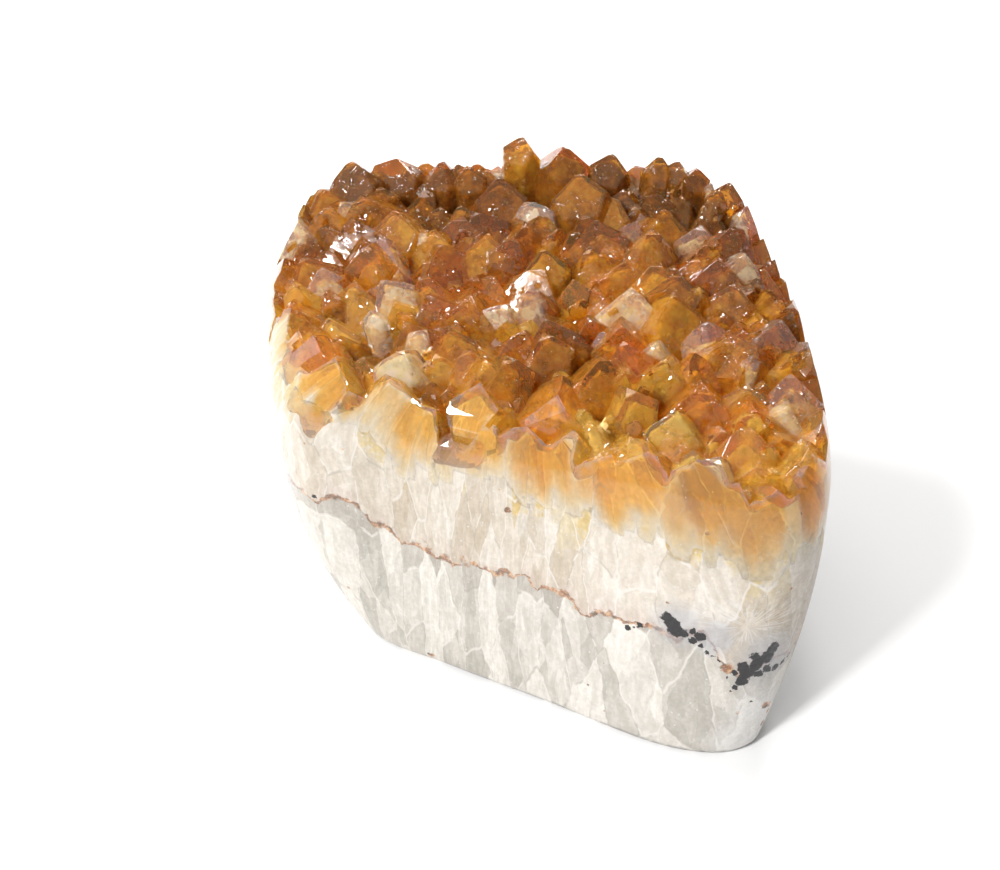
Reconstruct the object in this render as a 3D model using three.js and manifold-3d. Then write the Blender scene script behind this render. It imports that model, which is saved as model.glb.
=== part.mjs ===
// Citrine cluster: a bed of milky quartz crusted with amber quartz points, sawn flat underneath and
// polished round its sides. Crystals and bed grew together, so the stone is one solid. Millimetres, +Z up,
// and the origin is the middle of the sawn base.
import * as THREE from "three";
import { mergeVertices } from "three/addons/utils/BufferGeometryUtils.js";
import Module from "manifold-3d";

// Polished sides: the plan outline at the rim, where the stone is widest, and at the sawn base. Matching
// rows face each other up the wall, and a closed smooth curve runs through each list. The rim's third number
// is how far the polished shoulder reaches in over the crust there. The base's third number is how early the
// wall swells on its way up: 1 is a straight slope.
const RIM_OUTLINE = [
  [-71, 8, 16], [-63, -27, 34], [-35, -37, 34], [3, -51, 24], [41, -66, 22], [64, -64, 20], [71, -43, 12],
  [69, -1, 8], [63, 39, 10], [48, 65, 8], [-5, 73, 7], [-57, 67, 12], [-70, 40, 20],
];
const BASE_OUTLINE = [
  [-49, -1, 2.4], [-44, -29, 2.4], [-24, -42, 1.8], [1, -55, 1.3], [32, -71, 1.2], [51, -72, 1.5],
  [57, -59, 3], [55, -11, 3.2], [45, 27, 2.8], [29, 49, 2.8], [-5, 55, 2.8], [-37, 47, 2.8],
  [-48, 23, 2.6],
];
const RIM_HEIGHT = 70; // where the wall stops flaring and the shoulder begins
const BASE_BEVEL = 2.2; // rounded edge of the sawn base
const BEVEL_MIDDLE = [BASE_BEVEL * 0.3, BASE_BEVEL * 0.4]; // height and inset of the ring halfway round it
const SHOULDER_HEIGHT = 28; // from the rim to the top of the rounding
const OUTLINE_STEPS = 52;
const WALL_LEVELS = [6, 14, 24, 36, 48, 60, 70];
const SHOULDER_LEVELS = [0.16, 0.3, 0.44, 0.58, 0.74, 1];

// The crust of points.
const SEED = 4127;
const POINT_SPACING = 9.4;
const POINT_RADIUS = [8, 12];
const TIP_HEIGHT = 84; // tips near the rim
const CRUST_DOME = 4; // how much higher the middle of the crust stands
const TIP_JITTER = 3.4;
const OUTWARD_LEAN = 15; // degrees at the rim
const LEAN_JITTER = 17;
const FACE_SLOPE = 51.8; // degrees, quartz rhombohedron face to the basal plane
const POINT_LENGTH = 34; // how deep a crystal reaches down into the bed
const POINT_TAPER = 0.8; // a crystal's radius at its root to the radius at its shoulder
const CRUST_REACH = 70; // from the middle of the crust to its rim
const BED_HEIGHT = 75;
const ROUGH_MARGIN = 14; // how far the unpolished stone reached past the rim
const RIM_MARGIN = 7; // how far past the rim a crystal may stand before it is polished away
const GRID_MARGIN = 8; // how far the grid of smaller crystals is laid past the crust
const GRID_JITTER = 0.7; // of the spacing
const CROWDING = [0.62, 0.2]; // of a large crystal's radius and a small one's: closer than this has no room
const LARGE_SQUASH = [0.85, 1.1]; // how oblong the section is: thickness to width
const SMALL_SQUASH = [0.7, 1.1];
const SMALLER_FACES = [0.08, 0.5]; // how far the three smaller end faces stand back from the tip, in radii
const FACE_JITTER = 0.14; // in radii
const KEPT_DETAIL = 0.02; // edges shorter than this are merged away

// Large points that stand out of the crust: x, y and height of the tip, radius, and turn in degrees.
const LARGE_POINTS = [
  [11, 54, 92, 10.5, 30], [-4, 66, 96, 6, 8], [8, 66, 93, 9, 52], [21, 65, 91, 7, 20],
  [34, 64, 91, 5, 30], [39, 63, 90, 5, 0], [44, 61, 89, 5, 40], [53, 56, 88, 6, 15],
  [60, 52, 85, 7, 33], [-51, 63, 90, 9, 25], [-59, 57, 85, 8, 50], [-26, 63, 90, 6.5, 10],
  [-19, 62, 89, 6, 44], [-10, 54, 91, 10, 36], [34, 2, 90, 12.5, 58], [51, 10, 87, 8, 12],
  [-13, 29, 90, 10, 28], [9, -11, 86, 8, 47], [-29, 12, 88, 11, 30], [-3, -3, 85, 5.5, 5],
  [-15, -13, 84, 7.5, 22], [9, 11, 88, 5.5, 40], [5, -28, 86, 12, 30], [60, -37, 84, 10, 18],
  [65, -16, 85, 9, 40], [-38, 41, 89, 9, 14], [-63, 33, 84, 8, 56], [-64, 15, 84, 8, 27],
  [-54, 0, 84, 10, 35], [-44, -15, 83, 9, 3], [-26, -18, 85, 8, 42], [39, -32, 87, 12, 26],
  [29, -13, 85, 10, 8], [52, -8, 86, 8, 31], [60, 12, 84, 7, 50], [65, 33, 79, 8, 20],
  [67, 23, 80, 7.5, 41], [-14, -42, 82, 10, 30], [-30, -32, 82, 9, 12], [22, -48, 83, 10, 44],
  [52, -56, 83, 11, 24], [30, 30, 90, 10, 38],
];

const radians = THREE.MathUtils.degToRad;
const between = ([low, high], share) => THREE.MathUtils.lerp(low, high, share);

// Park-Miller sequence between 0 and 1: every build grows the same crystals.
function growthSequence(seed) {
  let state = seed;
  return () => {
    state = (state * 16807) % 2147483647;
    return state / 2147483647;
  };
}

// A closed curve through the outline's points, as OUTLINE_STEPS points whose z is the row's third number.
function smoothOutline(outline) {
  const curve = new THREE.CatmullRomCurve3(
    outline.map((row) => new THREE.Vector3(...row)),
    true,
    "catmullrom",
    0.5,
  );
  return Array.from({ length: OUTLINE_STEPS }, (_, i) => curve.getPoint(i / OUTLINE_STEPS));
}

const rimCurve = smoothOutline(RIM_OUTLINE);
const baseCurve = smoothOutline(BASE_OUTLINE);
const rim = rimCurve.map((p) => p.clone().setZ(0));
const base = baseCurve.map((p) => p.clone().setZ(0));
const shoulderReach = rimCurve.map((p) => p.z);
const wallSwell = baseCurve.map((p) => p.z);
const middle = (points) =>
  points.reduce((sum, p) => sum.add(p), new THREE.Vector3()).divideScalar(points.length);
const rimMiddle = middle(rim);
const baseMiddle = middle(base);

// Moves a point towards a centre by a distance.
function inset(point, centre, distance) {
  const inward = centre.clone().sub(point).normalize();
  return point.clone().addScaledVector(inward, distance);
}

// One level ring of the polished wall.
function wallRing(z, bevel = 0) {
  return base.map((foot, i) => {
    const out = 1 - (1 - z / RIM_HEIGHT) ** wallSwell[i];
    return inset(foot.clone().lerp(rim[i], out), baseMiddle, bevel).setZ(z);
  });
}

// One level ring of the shoulder, which rounds in over the crust.
function shoulderRing(rise) {
  const z = RIM_HEIGHT + SHOULDER_HEIGHT * rise;
  return rim.map((point, i) => inset(point, rimMiddle, shoulderReach[i] * rise ** 2).setZ(z));
}

// The vertices and triangles of a geometry as a solid.
function solidFrom(wasm, geometry) {
  const plain = geometry.clone();
  plain.deleteAttribute("normal");
  plain.deleteAttribute("uv");
  const merged = mergeVertices(plain, 1e-4);
  return new wasm.Manifold(
    new wasm.Mesh({
      numProp: 3,
      vertProperties: merged.attributes.position.array,
      triVerts: new Uint32Array(merged.index.array),
    }),
  );
}

// A closed solid through level rings, with a flat bottom and top.
function loft(wasm, rings) {
  const n = rings[0].length;
  const positions = rings.flat().flatMap((p) => [p.x, p.y, p.z]);
  const index = [];
  for (let level = 0; level + 1 < rings.length; level++)
    for (let i = 0; i < n; i++) {
      const a = level * n + i;
      const b = level * n + ((i + 1) % n);
      index.push(a, b, b + n, a, b + n, a + n);
    }
  const top = (rings.length - 1) * n;
  const capOf = (ring) => THREE.ShapeUtils.triangulateShape(ring.map((p) => new THREE.Vector2(p.x, p.y)), []);
  for (const [a, b, c] of capOf(rings[0])) index.push(a, c, b);
  for (const [a, b, c] of capOf(rings.at(-1))) index.push(top + a, top + b, top + c);
  const geometry = new THREE.BufferGeometry();
  geometry.setAttribute("position", new THREE.Float32BufferAttribute(positions, 3));
  geometry.setIndex(index);
  return solidFrom(wasm, geometry);
}

// The outside that the saw and the polishing wheel left.
function polishedOutside(wasm) {
  return loft(wasm, [
    wallRing(0, BASE_BEVEL),
    wallRing(...BEVEL_MIDDLE),
    wallRing(BASE_BEVEL),
    ...WALL_LEVELS.map((z) => wallRing(z)),
    ...SHOULDER_LEVELS.map(shoulderRing),
  ]);
}

// The milky quartz under the points, before the stone is polished: it reaches past the wall all round.
function quartzBed(wasm) {
  const rough = rim.map((p) => inset(p, rimMiddle, -ROUGH_MARGIN));
  return loft(wasm, [rough.map((p) => p.clone().setZ(-1)), rough.map((p) => p.clone().setZ(BED_HEIGHT))]);
}

// Whether a plan point lies inside the rim outline grown by a margin.
function overRim(x, y, margin) {
  let inside = false;
  for (let i = 0; i < rim.length; i++) {
    const a = inset(rim[i], rimMiddle, -margin);
    const b = inset(rim[(i + 1) % rim.length], rimMiddle, -margin);
    if (a.y > y !== b.y > y && x < a.x + ((y - a.y) / (b.y - a.y)) * (b.x - a.x)) inside = !inside;
  }
  return inside;
}

// The direction a crystal points in: straight up in the middle, and leaning outwards towards the rim.
function axisAt(x, y, jitterX, jitterY) {
  const lean = Math.tan(radians(OUTWARD_LEAN)) / CRUST_REACH;
  const wander = Math.tan(radians(LEAN_JITTER));
  return new THREE.Vector3(
    (x - rimMiddle.x) * lean + jitterX * wander,
    (y - rimMiddle.y) * lean + jitterY * wander,
    1,
  ).normalize();
}

// Every crystal of the crust: the large ones first, then the smaller ones on a loosened triangular grid.
function crustPoints() {
  const next = growthSequence(SEED);
  // How far each of the six end faces stands back from the tip, in radii: three large faces, three smaller.
  const faceOffsets = () => {
    const smaller = between(SMALLER_FACES, next());
    return [0, 1, 2, 3, 4, 5].map((k) => (k % 2 ? smaller : 0) + FACE_JITTER * next());
  };
  const points = LARGE_POINTS.map(([x, y, z, radius, turn]) => ({
    tip: new THREE.Vector3(x, y, z),
    axis: axisAt(x, y, next() - 0.5, next() - 0.5),
    radius,
    turn: radians(turn),
    squash: between(LARGE_SQUASH, next()),
    offsets: faceOffsets(),
  }));
  const large = [...points];
  const rowStep = POINT_SPACING * Math.sqrt(0.75);
  const rows = Math.ceil((CRUST_REACH + GRID_MARGIN) / rowStep);
  const columns = Math.ceil((CRUST_REACH + GRID_MARGIN) / POINT_SPACING);
  const jitter = GRID_JITTER * POINT_SPACING;
  for (let row = -rows; row <= rows; row++)
    for (let column = -columns; column <= columns; column++) {
      const x = (column + (row % 2 ? 0.5 : 0)) * POINT_SPACING + (next() - 0.5) * jitter;
      const y = row * rowStep + (next() - 0.5) * jitter;
      const away = Math.min(1, Math.hypot(x, y) / CRUST_REACH);
      const z = TIP_HEIGHT + CRUST_DOME * (1 - away ** 2) + (next() - 0.5) * 2 * TIP_JITTER;
      const radius = between(POINT_RADIUS, next());
      const axis = axisAt(x, y, 2 * next() - 1, 2 * next() - 1);
      const turn = radians(60 * next());
      const squash = between(SMALL_SQUASH, next());
      const offsets = faceOffsets();
      const room = (p) => CROWDING[0] * p.radius + CROWDING[1] * radius;
      const crowded = large.some((p) => Math.hypot(p.tip.x - x, p.tip.y - y) < room(p));
      if (crowded || !overRim(x, y, RIM_MARGIN)) continue;
      points.push({ tip: new THREE.Vector3(x, y, z), axis, radius, turn, squash, offsets });
    }
  return points;
}

// One quartz point: a six-sided prism whose end is cut by six sloping faces, three of them large.
function quartzPoint(wasm, { tip, axis, radius, turn, squash, offsets }) {
  const prism = new THREE.CylinderGeometry(radius, radius * POINT_TAPER, POINT_LENGTH, 6);
  prism.rotateX(Math.PI / 2);
  prism.translate(0, 0, -POINT_LENGTH / 2);
  let solid = solidFrom(wasm, prism);
  offsets.forEach((offset, k) => {
    const around = radians(60 * k);
    const slope = radians(FACE_SLOPE);
    const normal = [Math.sin(slope) * Math.cos(around), Math.sin(slope) * Math.sin(around), Math.cos(slope)];
    solid = solid.trimByPlane(normal.map((v) => -v), -offset * radius);
  });
  const place = new THREE.Matrix4().compose(
    tip,
    new THREE.Quaternion().setFromUnitVectors(new THREE.Vector3(0, 0, 1), axis),
    new THREE.Vector3(1, 1, 1),
  );
  const shape = new THREE.Matrix4().makeRotationZ(turn).scale(new THREE.Vector3(1, squash, 1));
  return solid.transform(place.multiply(shape).toArray());
}

function citrineCluster(wasm) {
  const points = crustPoints().map((point) => quartzPoint(wasm, point));
  const grown = wasm.Manifold.union([quartzBed(wasm), ...points]);
  const cut = grown.intersect(polishedOutside(wasm)).simplify(KEPT_DETAIL);
  // Small pockets between the crystals' roots are closed over in the real stone: only the outer skin is kept.
  const skins = cut.decompose().sort((a, b) => b.volume() - a.volume());
  const { numProp, vertProperties, triVerts } = skins[0].getMesh();
  const geometry = new THREE.BufferGeometry();
  geometry.setAttribute("position", new THREE.BufferAttribute(vertProperties, numProp));
  geometry.setIndex(new THREE.BufferAttribute(triVerts, 1));
  geometry.computeVertexNormals();
  const quartz = new THREE.MeshStandardMaterial({ color: 0xc8883a, roughness: 0.18, metalness: 0 });
  const mesh = new THREE.Mesh(geometry, quartz);
  mesh.name = "citrine_cluster";
  return mesh;
}

const wasm = await Module();
wasm.setup();
const stone = new THREE.Group();
stone.add(citrineCluster(wasm));
export default stone;
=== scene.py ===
"""Citrine cluster: a freeform of milky quartz with a crust of amber quartz points, polished round its sides.

The stone is drawn as two meshes in place of the one CAD solid. The milky quartz is the bed with its polished
wall, and it reaches up into a cloudy heart in every point. The clear quartz is the points over their hearts.
The frame is in metres with +Z up. The sizes below are millimetres, and each mesh is scaled to metres once it
is whole.
"""

import math
from types import SimpleNamespace

import bpy
import bmesh
from mathutils import Matrix, Vector, noise
from mathutils.bvhtree import BVHTree


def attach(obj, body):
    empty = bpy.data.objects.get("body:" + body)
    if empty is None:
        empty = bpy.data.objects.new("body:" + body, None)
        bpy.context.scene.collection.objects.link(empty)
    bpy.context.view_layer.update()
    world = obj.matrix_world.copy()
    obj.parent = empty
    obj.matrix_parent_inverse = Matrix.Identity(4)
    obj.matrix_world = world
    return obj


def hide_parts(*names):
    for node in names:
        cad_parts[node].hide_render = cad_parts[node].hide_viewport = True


METRES = 0.001

# The polished outside: plan outlines at the rim and at the sawn base, with matching rows facing each other up
# the wall. The rim's third number is how far the rounded shoulder reaches in over the crust, and the base's
# third number is how early the wall swells on its way up.
RIM_OUTLINE = (
    (-71, 8, 16), (-63, -27, 34), (-35, -37, 34), (3, -51, 24), (41, -66, 22), (64, -64, 20),
    (71, -43, 12), (69, -1, 8), (63, 39, 10), (48, 65, 8), (-5, 73, 7), (-57, 67, 12), (-70, 40, 20),
)
BASE_OUTLINE = (
    (-49, -1, 2.4), (-44, -29, 2.4), (-24, -42, 1.8), (1, -55, 1.3), (32, -71, 1.2), (51, -72, 1.5),
    (57, -59, 3), (55, -11, 3.2), (45, 27, 2.8), (29, 49, 2.8), (-5, 55, 2.8), (-37, 47, 2.8),
    (-48, 23, 2.6),
)
RIM_HEIGHT = 70
BASE_BEVEL = 2.2
SHOULDER_HEIGHT = 28
OUTLINE_STEPS = 52
FINE_STEPS = 208
BEVEL_LEVELS = (0.3, 0.8, 1.4, 2.2)
WALL_LEVELS = (6, 10, 15, 20, 26, 32, 38, 44, 50, 53, 56, 59, 62, 64, 66, 68, 70)
SHOULDER_LEVELS = (72, 74, 76, 78, 80, 82, 84, 86, 88, 90, 92, 95)

# The crust of points, as it stands in the CAD solid.
SEED = 4127
POINT_SPACING = 9.4
POINT_RADIUS = (8, 12)
TIP_HEIGHT = 84
CRUST_DOME = 4
TIP_JITTER = 3.4
OUTWARD_LEAN = 15
LEAN_JITTER = 17
FACE_SLOPE = 51.8
POINT_LENGTH = 34
CRUST_REACH = 70
BED_HEIGHT = 75
ROUGH_MARGIN = 14
GRID_MARGIN = 8
GRID_JITTER = 0.7  # share of the spacing
RIM_MARGIN = 7
CROWDING = (0.62, 0.2)  # how near a small point comes to a large one, in shares of their two radii
LARGE_SQUASH = (0.85, 1.1)  # how flat a point is across its axis
SMALL_SQUASH = (0.7, 1.1)
POINT_TAPER = 0.8
SMALLER_FACES = (0.08, 0.5)  # how far three of the end faces stand back, in radii
FACE_JITTER = 0.14

# Large points that stand out of the crust: x, y and height of the tip, radius, and turn in degrees.
LARGE_POINTS = (
    (11, 54, 92, 10.5, 30), (-4, 66, 96, 6, 8), (8, 66, 93, 9, 52), (21, 65, 91, 7, 20),
    (34, 64, 91, 5, 30), (39, 63, 90, 5, 0), (44, 61, 89, 5, 40), (53, 56, 88, 6, 15),
    (60, 52, 85, 7, 33), (-51, 63, 90, 9, 25), (-59, 57, 85, 8, 50), (-26, 63, 90, 6.5, 10),
    (-19, 62, 89, 6, 44), (-10, 54, 91, 10, 36), (34, 2, 90, 12.5, 58), (51, 10, 87, 8, 12),
    (-13, 29, 90, 10, 28), (9, -11, 86, 8, 47), (-29, 12, 88, 11, 30), (-3, -3, 85, 5.5, 5),
    (-15, -13, 84, 7.5, 22), (9, 11, 88, 5.5, 40), (5, -28, 86, 12, 30), (60, -37, 84, 10, 18),
    (65, -16, 85, 9, 40), (-38, 41, 89, 9, 14), (-63, 33, 84, 8, 56), (-64, 15, 84, 8, 27),
    (-54, 0, 84, 10, 35), (-44, -15, 83, 9, 3), (-26, -18, 85, 8, 42), (39, -32, 87, 12, 26),
    (29, -13, 85, 10, 8), (52, -8, 86, 8, 31), (60, 12, 84, 7, 50), (65, 33, 79, 8, 20),
    (67, 23, 80, 7.5, 41), (-14, -42, 82, 10, 30), (-30, -32, 82, 9, 12), (22, -48, 83, 10, 44),
    (52, -56, 83, 11, 24), (30, 30, 90, 10, 38),
)

# Young points that fill the hollows between the others.
YOUNG_SEED = 911
YOUNG_COUNT = 150
YOUNG_TRIES = 1500
YOUNG_RADIUS = (2.2, 4.6)
YOUNG_LEAN = 32
YOUNG_HEIGHT = (1.2, 3.6)  # how far a young tip stands over the hollow
YOUNG_GAP = 4.2
YOUNG_SQUASH = (0.75, 1.0)
YOUNG_RIM_MARGIN = 2
HOLLOW_BELOW = 84.5
HOLLOW_SLOPE = 1.1  # how steeply the ground falls away from a tip

EDGE_WEAR = 0.35  # rounding of a point's edges
CLEAR_SHARP = 40  # degrees between two faces past which their edge is sharp
MILKY_SHARP = 60
FACET_WEIGHT = 80
TOO_SHORT = 0.005
PROUD = 0.03  # how far the milky quartz of the wall stands over the clear quartz behind it
CLEAR_FOOT = 50  # where the clear quartz begins, on one of the wall's levels

# The crystals that the polish cut through under the rim: each is clear to a depth of its own.
CUT_SEED = 6113
CUT_WIDTH = (0.05, 0.15)  # radians round the stone
CUT_DEPTH = (0.4, 6.5)
CUT_FADE = 12  # height over which the clear part thins out downwards
CUT_SWING = 9
CUT_POINTED = 6  # how much further down a crystal reaches in its middle than at its sides
CUT_RAGGED = 4

# The cloudy hearts in the points, on a bed.
HEART_SHRINK = (0.76, 0.94)  # heart's radius to its point's
HEART_DROP = (1.2, 10)  # how far the heart's tip lies under the clear tip
HEART_BED = 70
HEART_FOOT = 54  # where the lumpy part of the hearts ends and the plain body begins
HEART_GRAIN = 0.9  # facet size of the lumpy surface
CLOUD_LUMPS = ((4.5, 0.9), (1.6, 0.2))  # size and depth of the clouds that the hearts break up into
DEEP_FROM = (55, 25)  # the hearts lie deeper in front of this y, fully so this much further on

POINT_LOOKS = ("amber", "cloud")  # what each point's faces carry for the materials
LOOKS_SEED = 5077
# Partly painted shade: amber deepens towards the back and the right, and pales at the front and the left.
MIDDLE_AMBER = 0.47  # a point's share of amber in the middle of the crust
BACK_AMBER = 0.005  # more for each millimetre towards the back
RIGHT_AMBER = 0.15  # more at the right rim
LEFT_AMBER = 0.35  # less at the left part of the front rim
FRONT_AMBER = 0.25  # less at the front rim
AMBER_SPREAD = 0.55
LEAST_CLOUD = 0.01
# Large points with an amber share and a cloudiness of their own, by their place in the list above.
CHOSEN_LOOKS = {
    0: (0.72, 0.3), 1: (0.6, 0.6), 2: (0.75, 0.2), 7: (0.8, 0.2), 13: (0.9, 0.4), 14: (0.5, 0.7),
    15: (0.7, 0.3), 16: (0.45, 0.75), 17: (0.95, 0.2), 18: (0.5, 0.3), 19: (0.15, 0.5), 20: (0.1, 0.6),
    21: (0.12, 0.5), 22: (0.4, 0.4), 23: (0.4, 1.0), 25: (0.55, 0.3), 27: (0.15, 0.4), 28: (0.1, 0.3),
    29: (0.12, 0.5), 30: (0.35, 0.3), 31: (0.5, 0.4), 32: (0.4, 0.96), 33: (0.7, 0.3), 34: (0.55, 0.5),
    39: (0.2, 0.6), 41: (0.6, 0.8),
}

# The wall's drawing: heights of the seam between its two layers, and of the lower edge of the amber, at
# places along x.
SEAM_HEIGHTS = (
    (-80, 52), (-61, 50), (-49, 50.5), (-38, 42), (-25, 38), (-5, 38.5), (10, 36.5), (25, 35.5),
    (37, 37.5), (49, 28), (58, 27.5), (80, 32),
)
AMBER_HEIGHTS = (
    (-80, 80), (-57, 79), (-40, 70), (-25, 68), (-10, 69), (0, 62), (30, 63), (52, 60), (62, 60),
    (80, 70),
)
WALL_RADIUS = 62  # turns an angle round the stone into millimetres along the wall
COLUMN_WIDTH = 6.5
COLUMN_LENGTH = 26
COLUMN_RANDOMNESS = 0.9
COLUMN_WAVER = 0.9
SLIVER_SHARE = 0.42  # size of the slivers in a column
LAYER_SHIFT = 31  # sets the upper layer's columns apart from the lower layer's
ROW_SHIFT = 5  # how far under the seam the tips of the lower columns end
LOBE_WIDTH = 6
LOBE_HEIGHT = 1.5
SPECK_SPACING = 5.5
LINE_REACH = 160  # width and height that the curves of the seam and the amber are drawn in
LINE_TOP = 100

# Stains: place and radius of each lump.
ORE_LUMPS = (
    ((31.0, -65.3, 41.5), 1.5), ((32.4, -65.8, 40.1), 2.0), ((33.4, -66.2, 38.1), 2.1),
    ((35.3, -66.9, 37.7), 1.3), ((37.4, -67.6, 38.9), 1.0), ((39.3, -68.2, 37.7), 1.5),
    ((37.4, -67.9, 36.1), 1.1), ((39.6, -68.6, 34.7), 0.7), ((41.2, -69.1, 33.3), 0.6),
    ((42.8, -69.6, 31.9), 0.5), ((44.2, -70.0, 30.9), 0.4), ((57.4, -67.3, 33.4), 1.9),
    ((55.8, -68.2, 31.0), 2.2), ((53.6, -69.0, 29.2), 2.1), ((51.4, -69.7, 27.0), 2.1),
    ((50.2, -70.1, 24.6), 1.7), ((48.6, -70.5, 22.4), 1.0), ((47.6, -70.6, 21.2), 0.6),
    ((56.2, -67.9, 26.8), 1.5), ((58.4, -66.7, 25.8), 1.3), ((60.4, -65.3, 26.2), 0.9),
    ((62.0, -63.7, 27.0), 0.7), ((63.6, -61.1, 27.8), 0.5), ((24.7, -63.2, 36.6), 0.9),
    ((21.8, -62.1, 34.5), 0.8), ((23.2, -62.7, 35.5), 0.4), ((52.6, -70.1, 16.9), 0.6),
    ((52.8, -69.2, 31.8), 1.5), ((50.2, -70.1, 29.0), 1.7), ((48.0, -70.4, 27.2), 0.9),
    ((46.4, -70.4, 25.6), 0.7), ((54.0, -68.9, 26.0), 1.4), ((-57.5, -31.0, 50.6), 0.8),
    ((-59.5, -28.0, 51.5), 1.0), ((-61.5, -24.0, 51.8), 0.8),
)
RUST_SPOTS = (
    ((46.2, -70.2, 28.6), 1.5), ((57, -68, 13), 1.2), ((58.4, -66.9, 12.4), 0.9),
    ((58.2, -67.0, 9.6), 0.8), ((57.0, -68.0, 6.4), 0.8), ((-8, -47.1, 60.4), 0.7),
    ((-28.3, -39.9, 2.4), 0.8), ((31, -65.4, 46.2), 0.6), ((-49.5, -29.5, 79.5), 1.1),
    ((-46.8, -30.5, 79.8), 0.9), ((26.8, -64, 37.2), 0.6), ((46.9, -70.3, 27.8), 0.8),
)
GREY_PATCHES = (
    ((34, -66, 40), 6), ((43, -69, 38), 5), ((56, -69, 31), 8), ((-66, -20, 50), 6), ((68, -45, 38), 6),
)
CHALK_PATCHES = (((56, -69, 12), 8), ((51, -72, 4), 7))
STAIN_WAVER = 1.3
FAR_FROM_LUMPS = 9.0
LUMPS_RUN_TOGETHER = 0.06
NEEDLES = (39, 42)  # where needles radiate, in millimetres along the wall and up

IOR_QUARTZ = 1.544
CLEARNESS = 0.88  # the rest is haze, which shows the facets
AMBER = (0.975, 0.78, 0.1, 1)
AMBER_DENSITY = 280  # per metre

# Colours, from pale to deep where there is a row of them.
POINT_TINTS = ((0.0, (0.92, 0.7, 0.22)), (0.5, (0.76, 0.46, 0.08)), (1.0, (0.48, 0.26, 0.06)))
MILKY_TINT = (0.95, 0.9, 0.82)
POLISHED_PALE, POLISHED_GOLD = (1.0, 0.96, 0.9), (0.96, 0.7, 0.24)
HEART_COLOURS = (
    (0.0, (0.96, 0.88, 0.6)), (0.35, (0.96, 0.75, 0.32)), (0.7, (0.77, 0.4, 0.1)),
    (1.0, (0.38, 0.15, 0.05)),
)
HEART_MILK = (1.0, 0.88, 0.78)
HEART_ROOT = (0.88, 0.7, 0.42)
# Painted glints: white flecks in the hearts' colour.
HEART_PAINTED_GLINT = (1.0, 0.97, 0.88)
UPPER_WHITES = ((0.2, (1.06, 1.02, 0.96)), (0.5, (0.94, 0.87, 0.78)), (0.8, (0.8, 0.71, 0.59)))
LOWER_WHITES = ((0.25, (1.1, 1.09, 1.06)), (0.5, (0.94, 0.92, 0.885)), (0.75, (0.71, 0.695, 0.655)))
GREYER_QUARTZ = (0.61, 0.575, 0.53)
BLUSH = (0.85, 0.72, 0.67)
AMBER_RUN = (
    (0.12, (0.9, 0.85, 0.78)), (0.3, (0.93, 0.82, 0.6)), (0.5, (0.9, 0.72, 0.36)),
    (0.8, (0.8, 0.56, 0.2)), (1.0, (0.6, 0.36, 0.1)),
)
PALE_COLUMN = (0.93, 0.84, 0.64)
FROST = ((0.36, (0.88, 0.865, 0.83)), (0.55, (0.98, 0.97, 0.96)), (0.7, (1.1, 1.1, 1.1)))
LIGHT_OUTLINE = (1.15, 1.14, 1.12)
DARK_OUTLINE = (0.55, 0.51, 0.46)
SLIVER_OUTLINE = (1.05, 1.05, 1.03)
# Painted shade on the milky wall: a little darker on the left, and a third darker at the right end.
MILKY_PAINTED_SHADE_LEFT, MILKY_SHADE = (0.585, 0.56, 0.525), (0.63, 0.605, 0.575)
MILKY_PAINTED_SHADE_RIGHT = (0.43, 0.4, 0.365)
# Painted shade with a deeper gold, for the amber at the right end of the wall.
GOLD_AND_PAINTED_SHADE = (0.82, 0.78, 0.62)
NEEDLE_WHITE = (0.7, 0.7, 0.7)
RUST = ((0.35, (0.09, 0.055, 0.035)), (0.5, (0.3, 0.14, 0.07)), (0.62, (0.6, 0.36, 0.2)))
PATCH_GREY = (0.36, 0.37, 0.4)
PATCH_CHALK = (0.7, 0.69, 0.68)
ORE_BLACK = (0.02, 0.018, 0.02)
GRIME = (0.2, 0.19, 0.18)
PAPER = (0.93, 0.93, 0.93, 1)

SKY_AWAY = (0.9, 0.44, 0)  # where the studio is darkest
SKY_FRONT = 0.75
SKY_BACK = 0.2
FLOOR_REACH = 12  # metres
PANEL = ((0, 0.75, 0.85), (0.9, 0.5), 5)  # place and size in metres, and watts
LAMP_TARGET = (0, 0, 0.08)
LAMP_DISTANCE = 1.05
LAMP_SIZE = (0.16, 0.16)
# Elevation and azimuth in degrees, and watts.
LAMPS = (("key", 45, -40, 8.5), ("left", 40, -118, 4), ("back", 43, 180, 2.5), ("right", 39, 155, 2.2))

CAMERA_TARGET = (-0.010, 0.006, 0.040)
CAMERA_ELEVATION = 40
CAMERA_DISTANCE = 0.62
CAMERA_LENS = 82.66


def growth_sequence(seed):
    """Park-Miller sequence between 0 and 1: the same crystals grow in every run."""
    state = seed
    while True:
        state = state * 16807 % 2147483647
        yield state / 2147483647


def between(pair, share):
    return pair[0] + (pair[1] - pair[0]) * share


def past(value, start, length):
    """How far a value lies past a start, in lengths, and 0 before it."""
    return max(0, (value - start) / length)


def along(outline, turn):
    """The smooth closed curve through an outline, at a share of its whole way round."""
    place = turn % 1 * len(outline)
    start = int(place)
    t = place - start
    before, a, b, after = (Vector(outline[(start + k) % len(outline)]) for k in (-1, 0, 1, 2))
    leave, arrive = (b - before) / 2, (after - a) / 2
    return a + leave * t + (3 * (b - a) - 2 * leave - arrive) * t**2 + (2 * (a - b) + leave + arrive) * t**3


def flat(vector):
    return Vector((vector.x, vector.y, 0))


def middle(outline):
    total = sum((flat(along(outline, i / OUTLINE_STEPS)) for i in range(OUTLINE_STEPS)), Vector())
    return total / OUTLINE_STEPS


RIM_MIDDLE = middle(RIM_OUTLINE)
BASE_MIDDLE = middle(BASE_OUTLINE)


def inset(point, centre, distance):
    return point + (centre - point).normalized() * distance


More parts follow.
